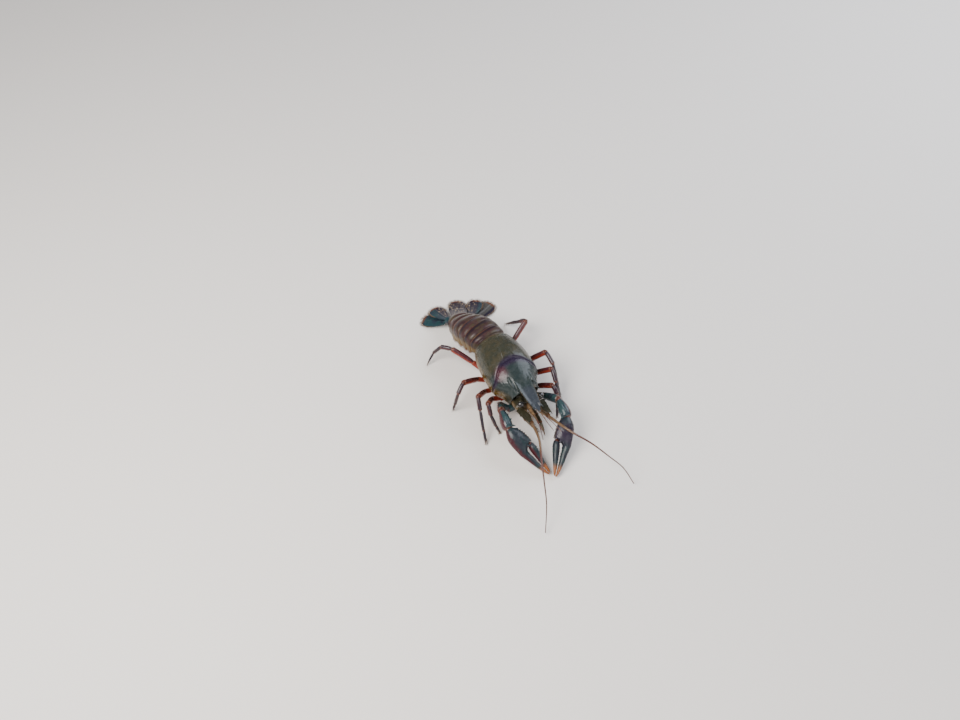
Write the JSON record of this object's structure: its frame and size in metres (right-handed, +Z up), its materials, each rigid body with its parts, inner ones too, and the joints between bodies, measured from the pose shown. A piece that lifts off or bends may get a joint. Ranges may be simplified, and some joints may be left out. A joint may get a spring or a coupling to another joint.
{
  "type": "crayfish",
  "caption": "Still life-size crayfish on its walking legs: ridged shell with a beak, arched tail with spread fan, two claws lowered in front and long feelers.",
  "frame": {"origin": "centre of the footprint, at floor level under the animal", "axes": "+Z up, -Y towards the head and claws, +Y towards the tail fan, +X towards the animal's left"},
  "size_m": [0.0518, 0.1266, 0.024],
  "materials": {
    "carapace_shell": "wet dark olive shell, gloss",
    "abdomen_shell": "wet plum brown and olive shell, gloss",
    "tail_fan": "wet dark blue-grey plates, gloss",
    "claw_shell": "wet dark teal shell with maroon sides, gloss",
    "arm_shell": "wet teal and purple shell, gloss",
    "leg_shell": "wet red and dark purple shell, gloss",
    "feeler": "dark reddish brown, satin",
    "pale_shell": "tan shell, satin",
    "eye": "black, high gloss"
  },
  "bodies": {
    "root": {"carapace": "carapace_shell", "abdomen_1": "abdomen_shell", "abdomen_2": "abdomen_shell", "abdomen_3": "abdomen_shell", "abdomen_4": "abdomen_shell", "abdomen_5": "abdomen_shell", "abdomen_6": "abdomen_shell", "telson": "tail_fan", "uropod_base_l": "tail_fan", "uropod_base_r": "tail_fan", "uropod_inner_l": "tail_fan", "uropod_inner_r": "tail_fan", "uropod_outer_l": "tail_fan", "uropod_outer_r": "tail_fan", "claw_palm_l": "claw_shell", "claw_palm_r": "claw_shell", "claw_finger_l": "claw_shell", "claw_finger_r": "claw_shell", "arm_root_l": "arm_shell", "arm_root_r": "arm_shell", "arm_upper_l": "arm_shell", "arm_upper_r": "arm_shell", "wrist_l": "arm_shell", "wrist_r": "arm_shell", "leg_2_l_upper": "leg_shell", "leg_2_l_lower": "leg_shell", "leg_2_r_upper": "leg_shell", "leg_2_r_lower": "leg_shell", "leg_3_l_upper": "leg_shell", "leg_3_l_lower": "leg_shell", "leg_3_r_upper": "leg_shell", "leg_3_r_lower": "leg_shell", "leg_4_l_upper": "leg_shell", "leg_4_l_lower": "leg_shell", "leg_4_r_upper": "leg_shell", "leg_4_r_lower": "leg_shell", "leg_5_l_upper": "leg_shell", "leg_5_l_lower": "leg_shell", "leg_5_r_upper": "leg_shell", "leg_5_r_lower": "leg_shell", "antenna_l": "feeler", "antenna_r": "feeler", "antennule_l": "feeler", "antennule_r": "feeler", "thorax_underside": "pale_shell", "head_front": "pale_shell", "antenna_base_l": "pale_shell", "antenna_base_r": "pale_shell", "antennal_scale_l": "pale_shell", "antennal_scale_r": "pale_shell", "maxilliped_l": "pale_shell", "maxilliped_r": "pale_shell", "eye_l": "eye", "eye_r": "eye"}
  },
  "joints": []
}
